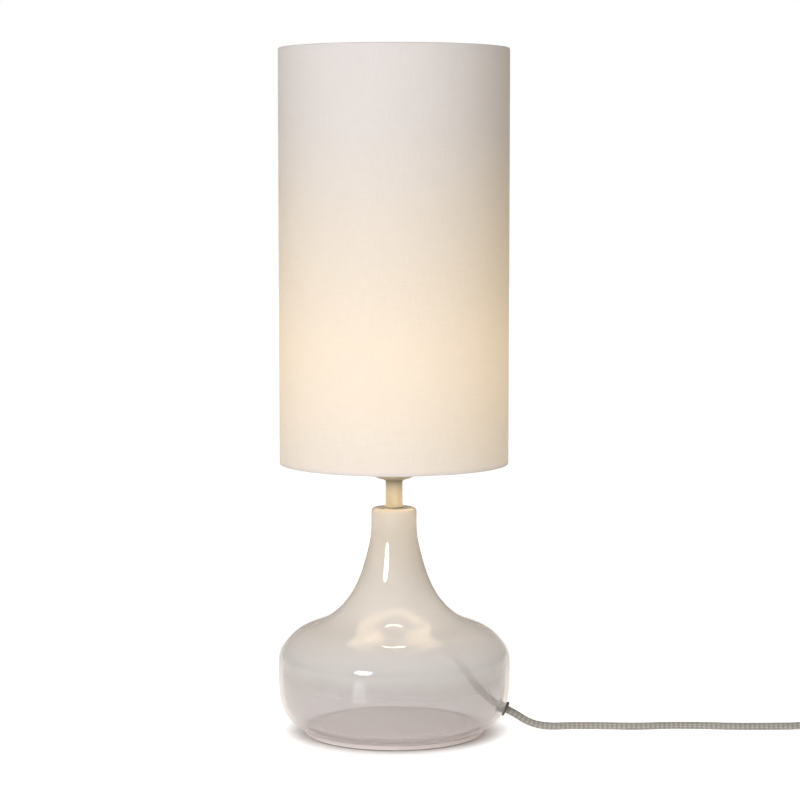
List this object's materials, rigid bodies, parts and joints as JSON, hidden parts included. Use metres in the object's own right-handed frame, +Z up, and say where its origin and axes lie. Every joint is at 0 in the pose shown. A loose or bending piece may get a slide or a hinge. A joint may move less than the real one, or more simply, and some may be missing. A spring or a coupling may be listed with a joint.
{
  "type": "table lamp",
  "caption": "Table lamp: flared milk-glass base, short painted stem, tall lit drum shade, textile lead with inline rocker switch and flat two-pin plug.",
  "frame": {"origin": "centre of the felt foot, on the table", "axes": "+Z up along the stem, +X towards the side where the lead leaves the glass, -Y towards the front"},
  "size_m": [0.7267, 0.2807, 0.598],
  "materials": {
    "opal_glass": "glossy milk glass, fading to smoky clear below",
    "base_paint": "satin pinkish grey",
    "seal_silicone": "matte translucent",
    "felt": "pressed felt",
    "dark_rubber": "matte",
    "cord_textile": "woven light grey sleeve",
    "zinc_steel": "zinc plated",
    "white_plastic": "matte white",
    "clear_plastic": "satin",
    "cream_paint": "satin cream",
    "contact_ceramic": "half matte",
    "core_plastic": "smooth insulated core",
    "brass": "plain",
    "white_paint": "powder coated",
    "liner_plastic": "frosted sheet",
    "shade_textile": "fine plain weave",
    "solder": "dull",
    "black_glass": "dark glass",
    "bulb_nickel": "satin nickel",
    "clear_glass": "clear",
    "filament_glow": "coated light strips",
    "bulb_glass": "frosted",
    "switch_plastic": "fine spark-eroded texture",
    "rocker_plastic": "satin",
    "tie_strap": "hook-and-loop strap",
    "plug_plastic": "fine moulded texture",
    "nickel_pin": "nickel plated",
    "sleeve_plastic": "smooth"
  },
  "bodies": {
    "lamp_base": {"glass_body": "opal_glass", "base_plate": "base_paint", "base_seal": "seal_silicone", "felt_pad": "felt", "cord_grommet": "dark_rubber", "inner_cord": "cord_textile", "neck_washer_lower": "dark_rubber", "steel_washer": "zinc_steel", "lock_nut": "zinc_steel", "threaded_tube": "zinc_steel", "tube_end_bush": "white_plastic", "neck_washer_upper": "clear_plastic", "stem_sleeve": "cream_paint", "holder_cap": "cream_paint", "holder_insert": "contact_ceramic", "wire_cores": "core_plastic", "centre_contact": "brass", "side_contact": "brass", "terminal_screws": "zinc_steel", "screw_shell": "brass", "holder_body": "white_plastic", "cord_to_switch": "cord_textile", "switch_sleeves": "switch_plastic", "switch_base": "switch_plastic", "switch_contacts": "brass", "cord_clamps": "switch_plastic", "switch_screws": "zinc_steel", "switch_cover": "switch_plastic", "rocker_pin": "zinc_steel", "cord_to_coil": "cord_textile", "cord_coil": "cord_textile", "coil_tie": "tie_strap", "cord_to_plug": "cord_textile", "plug_relief": "plug_plastic", "plug_body": "plug_plastic", "plug_pins": "nickel_pin", "pin_sleeves": "sleeve_plastic"},
    "shade": {"fitter_hub": "white_paint", "fitter_spokes": "white_paint", "bottom_wire_ring": "white_paint", "top_wire_ring": "white_paint", "shade_liner": "liner_plastic", "shade_fabric": "shade_textile"},
    "lock_ring": {"shade_ring": "white_plastic"},
    "bulb_foot": {"bulb_tip_contact": "solder", "bulb_cap_insulator": "black_glass"},
    "bulb": {"bulb_screw_cap": "bulb_nickel", "bulb_stem": "clear_glass", "bulb_filaments": "filament_glow", "bulb_envelope": "bulb_glass"},
    "rocker": {"switch_rocker": "rocker_plastic", "switch_contact_bridge": "brass"}
  },
  "joints": [
    {"name": "shade_swivel", "type": "hinge", "parent": "lamp_base", "child": "shade", "pos_m": [0, 0, 0.2477], "axis": [0, 0, 1], "continuous": true},
    {"name": "ring_turn", "type": "hinge", "parent": "lamp_base", "child": "lock_ring", "pos_m": [0, 0, 0.252], "axis": [0, 0, 1], "range_deg": [0, 1080]},
    {"name": "bulb_lift", "type": "slide", "parent": "lamp_base", "child": "bulb_foot", "axis": [0, 0, 1], "range_m": [0, 0.02177]},
    {"name": "bulb_turn", "type": "hinge", "parent": "bulb_foot", "child": "bulb", "pos_m": [0, 0, 0.27], "axis": [0, 0, 1], "range_deg": [0, 2160]},
    {"name": "rocker_tilt", "type": "hinge", "parent": "lamp_base", "child": "rocker", "pos_m": [0.443, 0.007, 0.0155], "axis": [0, 1, 0], "range_deg": [0, 16]}
  ],
  "couplings": [
    {"joint": "bulb_turn", "follows": "bulb_lift", "rad_per_m": 1731.4}
  ]
}
